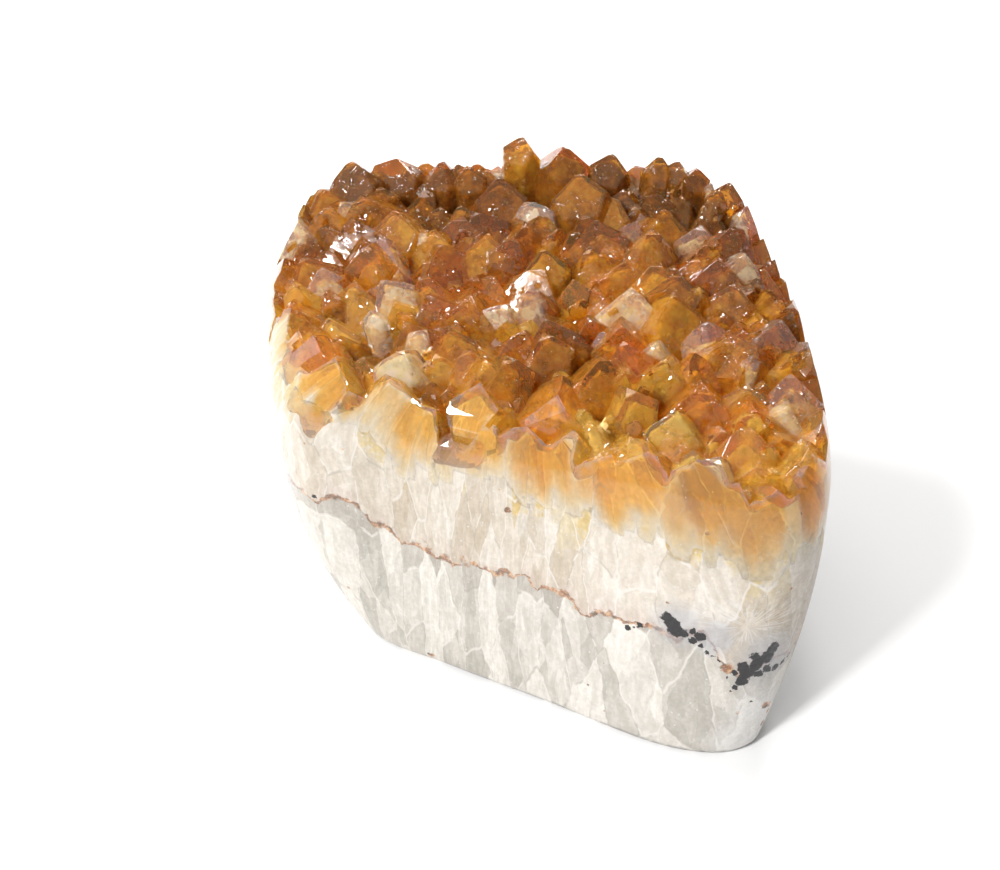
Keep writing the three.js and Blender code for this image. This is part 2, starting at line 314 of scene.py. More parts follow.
def outside(turn, z, inwards=0.0):
    """A point of the polished outside at a share of the way round and a height, or so far inwards of it."""
    foot, brim = along(BASE_OUTLINE, turn), along(RIM_OUTLINE, turn)
    if z > RIM_HEIGHT:
        reach = brim.z * ((z - RIM_HEIGHT) / SHOULDER_HEIGHT) ** 2
        place = inset(flat(brim), RIM_MIDDLE, reach + inwards)
    else:
        swell = 1 - (1 - z / RIM_HEIGHT) ** foot.z
        under = max(0, 1 - z / BASE_BEVEL)
        bevel = BASE_BEVEL * (1 - math.sqrt(1 - under**2))
        place = inset(flat(foot).lerp(flat(brim), swell), BASE_MIDDLE, bevel + inwards)
    place.z = z
    return place


def mesh_object(name, bm):
    data = bpy.data.meshes.new(name)
    bm.to_mesh(data)
    bm.free()
    return bpy.data.objects.new(name, data)


def polished_block(name, inward=False, floor=0.0):
    """The outside as a closed solid, from a drum whose level rings are drawn out to the outlines. Its
    vertices carry the depth of the clear quartz, and it can be drawn in by that much."""
    levels = [z for z in BEVEL_LEVELS + WALL_LEVELS + SHOULDER_LEVELS if z > floor]
    top = RIM_HEIGHT + SHOULDER_HEIGHT
    bm = bmesh.new()
    bmesh.ops.create_cone(
        bm, cap_ends=True, segments=FINE_STEPS, radius1=1, radius2=1, depth=top - floor,
        matrix=Matrix.Translation((0, 0, (top + floor) / 2)),
    )
    for z in levels:
        bmesh.ops.bisect_plane(
            bm, geom=bm.verts[:] + bm.edges[:] + bm.faces[:], plane_co=(0, 0, z), plane_no=(0, 0, 1),
        )
    depth = bm.verts.layers.float.new("clear")
    for vertex in bm.verts:
        turn = math.atan2(vertex.co.y, vertex.co.x) / math.tau
        z = round(vertex.co.z, 4)
        vertex.co = outside(turn, z)
        vertex[depth] = clear_depth(vertex.co)
        if inward:
            vertex.co = outside(turn, z, vertex[depth] - PROUD)
    return mesh_object(name, bm)


def rough_block(name, bottom, top):
    """A block of the stone before it was polished: it reaches past the wall all round."""
    bm = bmesh.new()
    bmesh.ops.create_cone(
        bm, cap_ends=True, segments=OUTLINE_STEPS, radius1=1, radius2=1, depth=top - bottom,
        matrix=Matrix.Translation((0, 0, (top + bottom) / 2)),
    )
    for vertex in bm.verts:
        turn = math.atan2(vertex.co.y, vertex.co.x) / math.tau
        wide = inset(flat(along(RIM_OUTLINE, turn)), RIM_MIDDLE, -ROUGH_MARGIN)
        vertex.co = Vector((wide.x, wide.y, vertex.co.z))
    return mesh_object(name, bm)


def over_rim(x, y, margin):
    """Whether a plan point lies inside the rim outline grown by a margin."""
    rim = [flat(along(RIM_OUTLINE, i / OUTLINE_STEPS)) for i in range(OUTLINE_STEPS)]
    ring = [inset(place, RIM_MIDDLE, -margin) for place in rim]
    inside = False
    for a, b in zip(ring, ring[1:] + ring[:1]):
        if (a.y > y) != (b.y > y) and x < a.x + (y - a.y) / (b.y - a.y) * (b.x - a.x):
            inside = not inside
    return inside


def axis_at(x, y, jitter_x, jitter_y, wander_degrees=LEAN_JITTER):
    """A crystal's direction: straight up in the middle of the crust, leaning outwards towards the rim."""
    lean = math.tan(math.radians(OUTWARD_LEAN)) / CRUST_REACH
    wander = math.tan(math.radians(wander_degrees))
    return Vector((
        (x - RIM_MIDDLE.x) * lean + jitter_x * wander,
        (y - RIM_MIDDLE.y) * lean + jitter_y * wander,
        1,
    )).normalized()


def face_offsets(draw):
    """How far each of the six end faces stands back from the tip, in radii: three large, three smaller."""
    smaller = between(SMALLER_FACES, next(draw))
    return [(smaller if k % 2 else 0) + FACE_JITTER * next(draw) for k in range(6)]


def crust_points():
    """Every point of the CAD crust: the large ones, then the smaller ones on a loosened triangular grid."""
    draw = growth_sequence(SEED)
    points = []
    for x, y, z, radius, turn in LARGE_POINTS:
        axis = axis_at(x, y, next(draw) - 0.5, next(draw) - 0.5)
        squash = between(LARGE_SQUASH, next(draw))
        points.append(dict(tip=Vector((x, y, z)), axis=axis, radius=radius, turn=math.radians(turn),
                           squash=squash, offsets=face_offsets(draw), young=False))
    large = list(points)
    row_step = POINT_SPACING * math.sqrt(0.75)
    loose = GRID_JITTER * POINT_SPACING
    rows = math.ceil((CRUST_REACH + GRID_MARGIN) / row_step)
    columns = math.ceil((CRUST_REACH + GRID_MARGIN) / POINT_SPACING)
    for row in range(-rows, rows + 1):
        for column in range(-columns, columns + 1):
            x = (column + (0.5 if row % 2 else 0)) * POINT_SPACING + (next(draw) - 0.5) * loose
            y = row * row_step + (next(draw) - 0.5) * loose
            away = min(1, math.hypot(x, y) / CRUST_REACH)
            z = TIP_HEIGHT + CRUST_DOME * (1 - away**2) + (next(draw) - 0.5) * 2 * TIP_JITTER
            radius = between(POINT_RADIUS, next(draw))
            axis = axis_at(x, y, 2 * next(draw) - 1, 2 * next(draw) - 1)
            turn = math.radians(60 * next(draw))
            squash = between(SMALL_SQUASH, next(draw))
            offsets = face_offsets(draw)
            crowded = any(math.dist(p["tip"].xy, (x, y)) < CROWDING[0] * p["radius"] + CROWDING[1] * radius
                          for p in large)
            if crowded or not over_rim(x, y, RIM_MARGIN):
                continue
            points.append(dict(tip=Vector((x, y, z)), axis=axis, radius=radius, turn=turn, squash=squash,
                               offsets=offsets, young=False))
    return points


def young_points(crust):
    """Small points standing in the hollows of the crust."""
    draw = growth_sequence(YOUNG_SEED)
    young = []
    for _ in range(YOUNG_TRIES):
        x, y = ((2 * next(draw) - 1) * CRUST_REACH for _ in range(2))
        ground = max(p["tip"].z - HOLLOW_SLOPE * math.dist(p["tip"].xy, (x, y)) for p in crust)
        radius = between(YOUNG_RADIUS, next(draw) ** 2)
        rise = between(YOUNG_HEIGHT, next(draw))
        axis = axis_at(x, y, 2 * next(draw) - 1, 2 * next(draw) - 1, YOUNG_LEAN)
        turn = math.radians(60 * next(draw))
        squash = between(YOUNG_SQUASH, next(draw))
        offsets = face_offsets(draw)
        crowded = any(math.dist(p["tip"].xy, (x, y)) < YOUNG_GAP for p in young)
        if crowded or ground > HOLLOW_BELOW or not over_rim(x, y, YOUNG_RIM_MARGIN):
            continue
        young.append(dict(tip=Vector((x, y, ground + rise)), axis=axis, radius=radius, turn=turn,
                          squash=squash, offsets=offsets, young=True))
        if len(young) == YOUNG_COUNT:
            break
    return young


def colour_points(points):
    """Gives each point its share of amber, paler towards the front and the left, and its cloudiness. The
    amber's deepening towards the back and the right is partly painted shade.
    """
    draw = growth_sequence(LOOKS_SEED)
    for point in points:
        x, y, _ = point["tip"]
        depth = MIDDLE_AMBER + BACK_AMBER * (y + 10) + RIGHT_AMBER * past(x, 25, 40)
        depth -= LEFT_AMBER * past(-x, 35, 35) * past(-y, -20, 55) + FRONT_AMBER * past(-y, 25, 30)
        point["amber"] = min(1, max(0, depth + AMBER_SPREAD * (next(draw) - 0.5)))
        point["cloud"] = between((LEAST_CLOUD, 1), next(draw))
        share = next(draw) ** 2 * min(1, max(0.1, (DEEP_FROM[0] - y) / DEEP_FROM[1]))
        point["drop"] = between(HEART_DROP, share)
        point["heart"] = between(HEART_SHRINK, next(draw))
    for place, (amber, cloud) in CHOSEN_LOOKS.items():
        points[place].update(amber=amber, cloud=cloud)


def quartz_point(point, wear, shrink=1.0, drop=0.0):
    """One quartz point as an object: a six-sided prism whose end is cut by six sloping faces."""
    radius = point["radius"] * shrink
    bm = bmesh.new()
    for look in POINT_LOOKS:
        bm.faces.layers.float.new(look)
    bmesh.ops.create_cone(
        bm, cap_ends=True, segments=6, radius1=radius * POINT_TAPER, radius2=radius, depth=POINT_LENGTH,
        matrix=Matrix.Translation((0, 0, -POINT_LENGTH / 2)),
    )
    slope = math.radians(FACE_SLOPE)
    for k, offset in enumerate(point["offsets"]):
        around = math.radians(60 * k)
        normal = Vector((
            math.sin(slope) * math.cos(around), math.sin(slope) * math.sin(around), math.cos(slope),
        ))
        cut = bmesh.ops.bisect_plane(
            bm, geom=bm.verts[:] + bm.edges[:] + bm.faces[:], plane_co=normal * offset * radius,
            plane_no=normal, clear_outer=True,
        )
        rim = [e for e in cut["geom_cut"] if isinstance(e, bmesh.types.BMEdge)]
        if rim:
            bmesh.ops.edgeloop_fill(bm, edges=rim)
    bmesh.ops.remove_doubles(bm, verts=bm.verts, dist=0.001)
    if wear:
        bmesh.ops.bevel(
            bm, geom=bm.edges[:], offset=wear, offset_type="OFFSET", segments=2, profile=0.5,
            affect="EDGES", material=-1, clamp_overlap=True,
        )
    amber, cloud = (bm.faces.layers.float[look] for look in POINT_LOOKS)
    for face in bm.faces:
        face[amber], face[cloud] = point["amber"], point["cloud"]
    upright = Vector((0, 0, 1)).rotation_difference(point["axis"]).to_matrix().to_4x4()
    shape = Matrix.Rotation(point["turn"], 4, "Z") @ Matrix.Diagonal((1, point["squash"], 1, 1))
    bm.transform(Matrix.Translation(point["tip"] - point["axis"] * drop) @ upright @ shape)
    return mesh_object("point", bm)


def applied(obj, kind, **settings):
    """The object with one modifier applied, as a new object; the old one is used up."""
    bpy.context.scene.collection.objects.link(obj)
    modifier = obj.modifiers.new(kind.lower(), kind)
    for key, value in settings.items():
        setattr(modifier, key, value)
    depsgraph = bpy.context.evaluated_depsgraph_get()
    made = bpy.data.meshes.new_from_object(obj.evaluated_get(depsgraph))
    name = obj.name
    bpy.data.objects.remove(obj)
    return bpy.data.objects.new(name, made)


def joined(obj, tools, operation):
    """The object after a boolean with every object of a list, which are used up."""
    shelf = bpy.data.collections.new("tools")
    bpy.context.scene.collection.children.link(shelf)
    for tool in tools:
        shelf.objects.link(tool)
    made = applied(obj, "BOOLEAN", operation=operation, solver="MANIFOLD", operand_type="COLLECTION",
                   collection=shelf)
    for tool in tools:
        bpy.data.objects.remove(tool)
    bpy.data.collections.remove(shelf)
    return made


def keep_largest_shell(bm):
    """Leaves only the largest closed skin: pockets between the roots of the points are closed over."""
    unseen = set(bm.faces)
    largest = set()
    while unseen:
        shell = {unseen.pop()}
        edge_of_shell = list(shell)
        while edge_of_shell:
            near = {other for edge in edge_of_shell.pop().edges for other in edge.link_faces} & unseen
            unseen -= near
            shell |= near
            edge_of_shell += near
        if len(shell) > len(largest):
            largest = shell
    bmesh.ops.delete(bm, geom=[face for face in bm.faces if face not in largest], context="FACES")


def finished(obj, name, sharp_degrees):
    """The joined mesh in metres, smooth except over edges sharper than a number of degrees."""
    bm = bmesh.new()
    bm.from_mesh(obj.data)
    keep_largest_shell(bm)
    bmesh.ops.dissolve_degenerate(bm, edges=bm.edges[:], dist=TOO_SHORT)
    bm.transform(Matrix.Scale(METRES, 4))
    for face in bm.faces:
        face.smooth = True
        face.material_index = 0
    piece = mesh_object(name, bm)
    piece.data.set_sharp_from_angle(angle=math.radians(sharp_degrees))
    bpy.context.scene.collection.objects.link(piece)
    return piece


def build_clear_quartz(points):
    bodies = [quartz_point(p, EDGE_WEAR / 2 if p["young"] else EDGE_WEAR) for p in points]
    grown = joined(rough_block("bed", -1, BED_HEIGHT), bodies, "UNION")
    cut = joined(polished_block("outside", floor=CLEAR_FOOT), [grown], "INTERSECT")
    piece = finished(cut, "clear_quartz", CLEAR_SHARP)
    weigh = piece.modifiers.new("flat_facets", "WEIGHTED_NORMAL")
    weigh.keep_sharp = True
    weigh.weight = FACET_WEIGHT
    return piece


def cut_crystals():
    """The crystals cut open under the rim: start and width round the wall, clear depth and reach down."""
    draw = growth_sequence(CUT_SEED)
    crystals, start = [], -math.pi
    while start < math.pi:
        clear = between(CUT_DEPTH, next(draw))
        reach = next(draw)
        width = between(CUT_WIDTH, next(draw))
        crystals.append((start, width, clear, reach))
        start += width
    return crystals


CUT_CRYSTALS = cut_crystals()


def clear_depth(place):
    """Clear quartz over the milky quartz: none low on the wall, deeper in the crystals cut open above."""
    around = math.atan2(place.x, -place.y)
    start, width, clear, reach = max(crystal for crystal in CUT_CRYSTALS if crystal[0] <= around)
    off_middle = abs(2 * (around - start) / width - 1)
    spans = zip(AMBER_HEIGHTS, AMBER_HEIGHTS[1:])
    (a, low), (b, high) = next(span for span in spans if place.x < span[1][0])
    edge = between((low, high), (place.x - a) / (b - a))
    rise = place.z - edge + CUT_SWING * (reach - 0.5) + CUT_POINTED * (0.5 - off_middle)
    rise += CUT_RAGGED * noise.noise(place / CUT_RAGGED)
    return clear * min(1, max(0, rise / CUT_FADE))


def clouded_hearts(points):
    """The hearts of the points, broken up into clouds, each cloud with the looks of its point."""
    hearts = [quartz_point(p, 0, p["heart"], p["drop"]) for p in points]
    grown = joined(rough_block("hearts", HEART_FOOT, HEART_BED), hearts, "UNION")
    bm = bmesh.new()
    bm.from_mesh(grown.data)
    nearest = BVHTree.FromBMesh(bm)
    bm.faces.ensure_lookup_table()
    looks = [[face[bm.faces.layers.float[look]] for face in bm.faces] for look in POINT_LOOKS]
    bm.free()
    lumpy = applied(grown, "REMESH", mode="VOXEL", voxel_size=HEART_GRAIN)
    bm = bmesh.new()
    bm.from_mesh(lumpy.data)
    layers = [bm.faces.layers.float.new(look) for look in POINT_LOOKS]
    bm.normal_update()
    for face in bm.faces:
        like = nearest.find_nearest(face.calc_center_median())[2]
        for layer, values in zip(layers, looks):
            face[layer] = values[like]
    for vertex in bm.verts:
        if vertex.co.z > HEART_FOOT + HEART_GRAIN:
            swell = sum(depth * noise.noise(vertex.co / size) for size, depth in CLOUD_LUMPS)
            vertex.co += vertex.normal * swell
    return mesh_object("hearts", bm)


def build_milky_quartz(points):
    body = joined(rough_block("body", -1, HEART_FOOT + 3 * HEART_GRAIN), [clouded_hearts(points)], "UNION")
    cut = joined(polished_block("inside", inward=True), [body], "INTERSECT")
    piece = finished(cut, "milky_quartz", MILKY_SHARP)
    cloud = piece.data.attributes["cloud"].data
    for face in piece.data.polygons:
        if cloud[face.index].value > 0:
            face.material_index = 1
    return piece


# Materials ------------------------------------------------------------------------------------------------

def put(tree, kind, inputs=None, **settings):
    """Adds a node with its settings and inputs; an input is a value or another node's output."""
    node = tree.nodes.new("ShaderNode" + kind)
    for key, value in settings.items():
        setattr(node, key, value)
    for key, value in (inputs or {}).items():
        if isinstance(value, bpy.types.NodeSocket):
            tree.links.new(value, node.inputs[key])
        else:
            node.inputs[key].default_value = value
    return node


def calc(tree, operation, a, b=0.0, c=0.0, clamp=False):
    return put(tree, "Math", {0: a, 1: b, 2: c}, operation=operation, use_clamp=clamp).outputs[0]


def vector_calc(tree, operation, a, b):
    return put(tree, "VectorMath", {0: a, 1: b}, operation=operation).outputs[0]


def scaled(tree, vector, factor):
    return put(tree, "VectorMath", {0: vector, "Scale": factor}, operation="SCALE").outputs[0]


def mix(tree, share, a, b, how="MIX"):
    """Blends two colours, given as a socket or as red, green and blue."""
    full = [v if isinstance(v, bpy.types.NodeSocket) else (*v, 1) for v in (a, b)]
    node = put(tree, "Mix", {0: share, 6: full[0], 7: full[1]}, data_type="RGBA", blend_type=how)
    return node.outputs[2]


def total(tree, *values):
    result = values[0]
    for value in values[1:]:
        result = calc(tree, "ADD", result, value)
    return result


def parts_of(tree, vector):
    return put(tree, "SeparateXYZ", {0: vector}).outputs


def vector_of(tree, x, y, z=0.0):
    return put(tree, "CombineXYZ", {0: x, 1: y, 2: z}).outputs[0]


def channels(tree, colour):
    """A colour's red, green and blue: the three chance numbers of a cell or a noise."""
    return put(tree, "SeparateColor", {0: colour}).outputs


def step(tree, value, low, high):
    """A smooth step of a value, from 0 at low to 1 at high."""
    if low > high:
        return calc(tree, "SUBTRACT", 1.0, step(tree, value, high, low))
    node = put(tree, "MapRange", {"Value": value, "From Min": low, "From Max": high},
               interpolation_type="SMOOTHSTEP")
    return node.outputs["Result"]


def product(tree, *values):
    result = values[0]
    for value in values[1:]:
        result = calc(tree, "MULTIPLY", result, value)
    return result


def ramp(tree, value, stops):
    node = put(tree, "ValToRGB", {"Fac": value})
    elements = node.color_ramp.elements
    while len(elements) < len(stops):
        elements.new(0.5)
    for element, (place, colour) in zip(elements, stops):
        element.position = place
        element.color = (*colour, 1)
    return node.outputs["Color"]


def line_height(tree, x, rows):
    """The height of a line drawn across the wall, from its heights at some places along x."""
    place = calc(tree, "MULTIPLY_ADD", x, 1 / LINE_REACH, 0.5)
    node = put(tree, "FloatCurve", {"Value": place})
    curve = node.mapping.curves[0]
    while len(curve.points) < len(rows):
        curve.points.new(0.5, 0.5)
    for point, (across, height) in zip(curve.points, rows):
        point.location = (across / LINE_REACH + 0.5, height / LINE_TOP)
    node.mapping.update()
    return product(tree, node.outputs[0], LINE_TOP)


def noise_node(tree, where, size, detail, roughness):
    """Noise whose lumps are about size millimetres across."""
    inputs = {"Vector": where, "Scale": 1 / size, "Detail": detail, "Roughness": roughness}
    return put(tree, "TexNoise", inputs).outputs


def noise_of(tree, where, size, detail=2.0, roughness=0.5):
    """One noise between 0 and 1."""
    return noise_node(tree, where, size, detail, roughness)["Fac"]


def swing(tree, value, amount):
    """Noise between 0 and 1 as a swing of an amount either way."""
    return calc(tree, "MULTIPLY_ADD", value, 2 * amount, -amount)


def colour_noise(tree, where, size, detail=2.0, roughness=0.5):
    """Three noises at once, as outputs between 0 and 1."""
    return channels(tree, noise_node(tree, where, size, detail, roughness)["Color"])


def grain_group():
    """Fine crystal grain: little facets tilted at random, the shade of each, and painted glints in a few."""
    tree = bpy.data.node_groups.new("crystal_grain", "ShaderNodeTree")
    tree.interface.new_socket("Vector", in_out="INPUT", socket_type="NodeSocketVector")
    tree.interface.new_socket("Scale", in_out="INPUT", socket_type="NodeSocketFloat")
    tree.interface.new_socket("Glint Share", in_out="INPUT", socket_type="NodeSocketFloat")
    for name in ("Height", "Shade", "Painted Glint"):
        tree.interface.new_socket(name, in_out="OUTPUT", socket_type="NodeSocketFloat")
    given = tree.nodes.new("NodeGroupInput").outputs
    facets = put(tree, "TexVoronoi", {"Vector": given["Vector"], "Scale": given["Scale"]}).outputs
    tilt = vector_calc(tree, "SUBTRACT", facets["Color"], (0.5, 0.5, 0.5))
    inside = vector_calc(tree, "SUBTRACT", given["Vector"], facets["Position"])
    height = put(tree, "VectorMath", {0: tilt, 1: inside}, operation="DOT_PRODUCT").outputs["Value"]
    chance = channels(tree, facets["Color"])
    # A few small cells carry painted glints: white flecks laid into a colour.
    few = calc(tree, "LESS_THAN", chance[0], given["Glint Share"])
    small = step(tree, facets["Distance"], 0.42, 0.2)
    out = tree.nodes.new("NodeGroupOutput").inputs
    for name, value in (("Height", height), ("Shade", chance[1]), ("Painted Glint", product(tree, few, small))):
        tree.links.new(value, out[name])
    return tree


def grain(tree, where, size, painted_glint_share):
    """The crystal grain in one material, with facets about size millimetres across."""
    node = tree.nodes.new("ShaderNodeGroup")
    node.node_tree = bpy.data.node_groups.get("crystal_grain") or grain_group()
    tree.links.new(where, node.inputs["Vector"])
    node.inputs["Scale"].default_value = 1 / size
    node.inputs["Glint Share"].default_value = painted_glint_share
    return node.outputs


def new_material(name):
    material = bpy.data.materials.new(name)
    material.use_nodes = True
    material.node_tree.nodes.clear()
    return material, material.node_tree


def millimetres(tree):
    """Object coordinates in millimetres."""
    return scaled(tree, put(tree, "TexCoord").outputs["Object"], 1 / METRES)


def attribute(tree, name):
    return put(tree, "Attribute", attribute_name=name).outputs["Fac"]


def clear_quartz_material():
    material, tree = new_material("clear_quartz")
    where = millimetres(tree)
    cloud = attribute(tree, "cloud")
    grown = calc(tree, "GREATER_THAN", cloud, 0)
    # The amber share, deeper at the back and the right, is partly painted shade.
    tint = ramp(tree, attribute(tree, "amber"), POINT_TINTS)
    tint = mix(tree, step(tree, cloud, 0.88, 0.94), tint, MILKY_TINT)
    polished = mix(tree, step(tree, attribute(tree, "clear"), 0.0, 3.0), POLISHED_PALE, POLISHED_GOLD)
    colour = mix(tree, grown, polished, tint)
    # Natural faces ripple, and glitter in clusters; the polished ones do neither.
    ripple = product(tree, noise_of(tree, where, 2.4, 2, 0.5), 0.03)
    glitter = product(tree, grain(tree, where, 0.85, 0)["Height"], 0.9,
                      step(tree, noise_of(tree, where, 4, 2), 0.53, 0.6))
    height = product(tree, total(tree, ripple, glitter), grown)
    relief = put(tree, "Bump", {"Strength": 1.0, "Distance": METRES, "Height": height})
    rough = calc(tree, "MULTIPLY_ADD", cloud, 0.12, 0.03)
    surface = put(tree, "BsdfPrincipled", {
        "Base Color": colour, "Roughness": rough, "IOR": IOR_QUARTZ, "Transmission Weight": CLEARNESS,
        "Normal": relief.outputs[0],
    })
    volume = put(tree, "VolumeAbsorption", {"Color": AMBER, "Density": AMBER_DENSITY})
    put(tree, "OutputMaterial", {"Surface": surface.outputs[0], "Volume": volume.outputs[0]})
    return material


def cloudy_heart_material():
    """Cloudy amber in the points: each has its own depth, and all are mottled, some with white clouds."""
    material, tree = new_material("cloudy_hearts")
    where = millimetres(tree)
    grains = grain(tree, where, 1.0, 0.35)
    mottle = colour_noise(tree, where, 4, 3, 0.55)
    height = parts_of(tree, where)["Z"]
    # The amber share, deeper at the back and the right, is partly painted shade.
    deep = total(tree, attribute(tree, "amber"), swing(tree, mottle[0], 0.75))
    deep = calc(tree, "ADD", deep, swing(tree, grains["Shade"], 0.06), clamp=True)
    colour = ramp(tree, deep, HEART_COLOURS)
    milk = total(tree, attribute(tree, "cloud"), swing(tree, mottle[1], 0.9))
    colour = mix(tree, step(tree, milk, 0.92, 1.08), colour, HEART_MILK)
    rooted = product(tree, step(tree, height, 78, 66), 0.6)
    colour = mix(tree, rooted, colour, HEART_ROOT)
    # Healed cracks in clusters: painted glints as white flecks in the colour, and little facets that catch
    # the light.
    cracked = step(tree, mottle[2], 0.5, 0.58)
    colour = mix(tree, product(tree, grains["Painted Glint"], cracked), colour, HEART_PAINTED_GLINT)
    facets = product(tree, grains["Height"], calc(tree, "MULTIPLY_ADD", cracked, 0.9, 0.1))
    relief = put(tree, "Bump", {"Strength": 1.0, "Distance": METRES, "Height": facets})
    surface = put(tree, "BsdfPrincipled", {
        "Base Color": colour, "Roughness": 0.12, "Normal": relief.outputs[0],
    })
    put(tree, "OutputMaterial", {"Surface": surface.outputs[0]})
    return material


def lumps(tree, where, places):
    """How far a place is from the nearest of some round lumps, in radii: neighbours run together."""
    nearest = FAR_FROM_LUMPS
    for place, radius in places:
        away = put(tree, "VectorMath", {0: where, 1: place}, operation="DISTANCE").outputs["Value"]
        nearest = calc(tree, "SMOOTH_MIN", calc(tree, "DIVIDE", away, radius), nearest, LUMPS_RUN_TOGETHER)
    return nearest


def wall_cells(tree, wall, share):
    """Tall pointed cells on the wall, at a share of the columns' size, and the distance to their edges."""
    place = vector_of(tree, product(tree, wall.across, 1 / (share * COLUMN_WIDTH)),
                      product(tree, wall.up, 1 / (share * COLUMN_LENGTH)))
    inputs = {"Vector": place, "Scale": 1, "Randomness": COLUMN_RANDOMNESS}
    cells = put(tree, "TexVoronoi", inputs, voronoi_dimensions="2D").outputs
    edges = put(tree, "TexVoronoi", inputs, voronoi_dimensions="2D", feature="DISTANCE_TO_EDGE").outputs
    return cells, edges["Distance"]


def wall_layout(tree, where):
    """Where a place on the polished wall lies: how far round, how far over the seam, and in which column."""
    wall = SimpleNamespace()
    split = parts_of(tree, where)
    wall.x, wall.z = split["X"], split["Z"]
    wall.broad = colour_noise(tree, where, 6, 2)
    wall.fine = colour_noise(tree, where, 1.7, 3, 0.65)
    angle = calc(tree, "ARCTAN2", wall.x, product(tree, split["Y"], -1))
    wall.around = product(tree, angle, WALL_RADIUS)

    # The seam hangs between small lobes that bulge upwards.
    lobe = put(tree, "TexVoronoi", {"W": wall.around, "Scale": 1 / LOBE_WIDTH}, voronoi_dimensions="1D")
    bulge = product(tree, lobe.outputs["Distance"], lobe.outputs["Distance"])
    bulge = calc(tree, "MULTIPLY_ADD", bulge, -4 * LOBE_HEIGHT, LOBE_HEIGHT)
    seam_line = total(tree, line_height(tree, wall.x, SEAM_HEIGHTS),
                      calc(tree, "MAXIMUM", bulge, -LOBE_HEIGHT))
    over_line = calc(tree, "SUBTRACT", wall.z, seam_line)
    wall.over_seam = total(tree, over_line, swing(tree, wall.broad[0], 3), swing(tree, wall.fine[0], 1.6))
    wall.upper = step(tree, wall.over_seam, -0.25, 0.25)

    # Each layer has columns of its own, and slimmer slivers in them.
    across = total(tree, wall.around, swing(tree, wall.broad[1], COLUMN_WAVER))
    wall.across = calc(tree, "MULTIPLY_ADD", wall.upper, LAYER_SHIFT, across)
    wall.up = total(tree, over_line, ROW_SHIFT)
    columns, wall.outline = wall_cells(tree, wall, 1)
    slivers, wall.sliver_outline = wall_cells(tree, wall, SLIVER_SHARE)
    wall.column = channels(tree, columns["Color"])
    wall.sliver = channels(tree, slivers["Color"])
    wall.row = parts_of(tree, columns["Position"])["Y"]
    return wall


def milky_columns(tree, wall):
    """Columns and slivers, each in its own shade of white, greyer under the seam."""
    tone = calc(tree, "MULTIPLY_ADD", wall.sliver[0], 0.4, product(tree, wall.column[0], 0.6))
    tone = total(tree, tone, swing(tree, wall.broad[2], 0.18))
    colour = mix(tree, wall.upper, ramp(tree, tone, LOWER_WHITES), ramp(tree, tone, UPPER_WHITES))

    # Greyer quartz between the tips of the lower columns, and a pink blush above the seam.
    under = product(tree, calc(tree, "GREATER_THAN", wall.row, 0.0), calc(tree, "SUBTRACT", 1, wall.upper),
                    calc(tree, "MULTIPLY_ADD", wall.column[1], 0.5, 0.4))
    colour = mix(tree, under, colour, GREYER_QUARTZ)
    blush = product(tree, step(tree, wall.over_seam, 8, 0.5), wall.upper,
                    step(tree, wall.broad[2], 0.35, 0.6), 0.5)
    return mix(tree, blush, colour, BLUSH)


def amber_run(tree, wall, colour):
    """Amber that runs down the columns from the points, further in some than in others."""
    rise = total(tree, calc(tree, "SUBTRACT", wall.z, line_height(tree, wall.x, AMBER_HEIGHTS)),
                 swing(tree, wall.column[1], 7), swing(tree, wall.sliver[1], 3), swing(tree, wall.fine[1], 8))
    deep = total(tree, calc(tree, "MULTIPLY_ADD", rise, 1 / 30, 0.3), swing(tree, wall.broad[0], 0.25),
                 swing(tree, wall.fine[0], 0.25), swing(tree, wall.sliver[2], 0.2),
                 swing(tree, wall.column[0], 0.15))
    # Behind thin clear quartz the amber stays pale, so that it fades in with the depth.
    allowed = calc(tree, "MULTIPLY_ADD", attribute(tree, "clear"), 0.36, 0.16)
    deep = calc(tree, "MINIMUM", deep, total(tree, allowed, calc(tree, "SUBTRACT", 1, wall.clear)))
    glow = ramp(tree, deep, AMBER_RUN)
    paler = mix(tree, 0.65, glow, PALE_COLUMN)
    glow = mix(tree, step(tree, wall.column[2], 0.62, 0.66), glow, paler)
    return mix(tree, calc(tree, "MAXIMUM", step(tree, rise, -7, 0), wall.clear), colour, glow)


def frost_and_outlines(tree, wall, grains, colour):
    """Frost that streaks up the columns, the columns' light and dark outlines, and painted glints as white
    flecks.
    """
    streaks = vector_of(tree, product(tree, wall.across, 0.75), product(tree, wall.up, 0.17))
    streaks = put(tree, "TexNoise", {"Vector": streaks, "Scale": 1, "Detail": 4.0, "Roughness": 0.62},
                  noise_dimensions="2D").outputs["Fac"]
    frost = total(tree, product(tree, grains["Shade"], 0.16), product(tree, wall.fine[2], 0.1),
                  product(tree, streaks, 0.84))
    colour = mix(tree, 1.0, colour, ramp(tree, frost, FROST), "MULTIPLY")
    broad, fine = wall.broad[0], wall.fine[2]
    light = product(tree, step(tree, wall.outline, 0.03, 0.01), step(tree, broad, 0.42, 0.52), 0.6)
    dark = product(tree, step(tree, wall.outline, 0.03, 0.005), step(tree, broad, 0.5, 0.4), 0.5)
    slim = product(tree, step(tree, wall.sliver_outline, 0.05, 0.01), step(tree, fine, 0.45, 0.6), 0.3)
    for share, tone in ((light, LIGHT_OUTLINE), (dark, DARK_OUTLINE), (slim, SLIVER_OUTLINE),
                        (product(tree, grains["Painted Glint"], 0.9), (1.0, 1.0, 1.0))):
        colour = mix(tree, share, colour, tone)
    return colour


